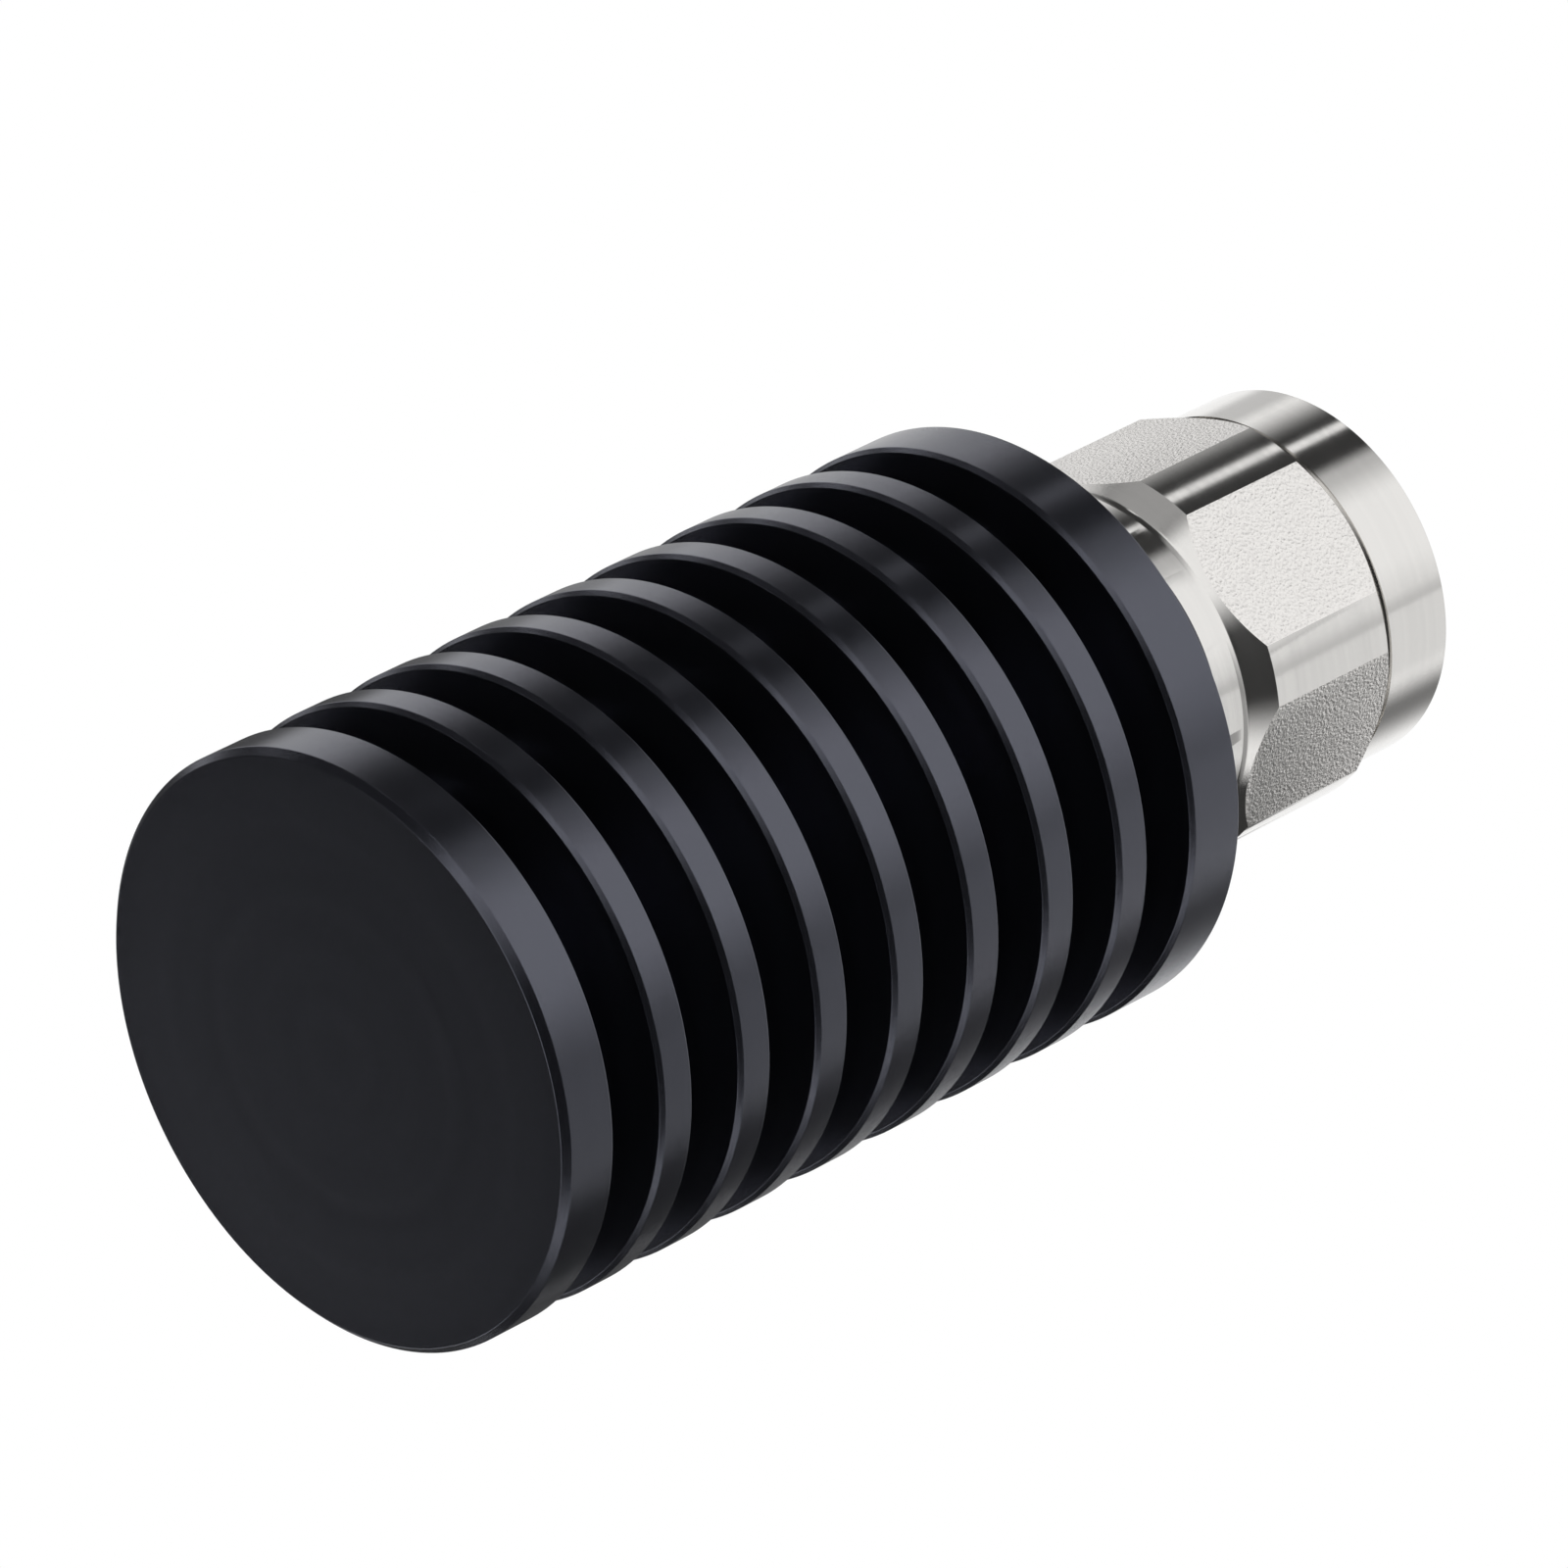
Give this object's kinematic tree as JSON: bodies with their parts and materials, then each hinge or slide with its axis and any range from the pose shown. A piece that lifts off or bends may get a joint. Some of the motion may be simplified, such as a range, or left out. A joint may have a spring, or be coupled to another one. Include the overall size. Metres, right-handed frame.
{
  "type": "coaxial terminator",
  "caption": "Finned coaxial load with a closed end and a screw-on male connector whose hexagonal nut turns freely.",
  "frame": {"origin": "centre of the closed end's face, on which the part stands", "axes": "+Z along the axis towards the connector's mouth; +X through a corner land of the hexagon, +Y through a flat"},
  "size_m": [0.032, 0.032, 0.0717],
  "materials": {
    "black_anodised": "satin black anodised",
    "stainless": "turned stainless steel",
    "spring_steel": "plain spring steel",
    "silicone": "smooth red silicone rubber",
    "gold_plate": "gold plated",
    "bead_plastic": "machined plastic",
    "resistor_ceramic": "ceramic with a resistive film",
    "silver_plate": "silver plated",
    "sleeve_brass": "turned brass"
  },
  "bodies": {
    "body": {"heatsink": "black_anodised", "connector_body": "stainless", "outer_contact": "stainless", "snap_ring": "spring_steel", "sealing_gasket": "silicone", "centre_pin": "gold_plate", "support_bead": "bead_plastic", "rear_conductor": "gold_plate", "resistor_rod": "resistor_ceramic", "front_cap": "silver_plate", "rear_cap": "silver_plate", "tapered_sleeve": "sleeve_brass", "ground_collet": "sleeve_brass"},
    "nut": {"coupling_nut": "stainless"}
  },
  "joints": [
    {"name": "nut_turn", "type": "hinge", "parent": "body", "child": "nut", "pos_m": [0, 0, 0.063], "axis": [0, 0, 1], "continuous": true}
  ]
}
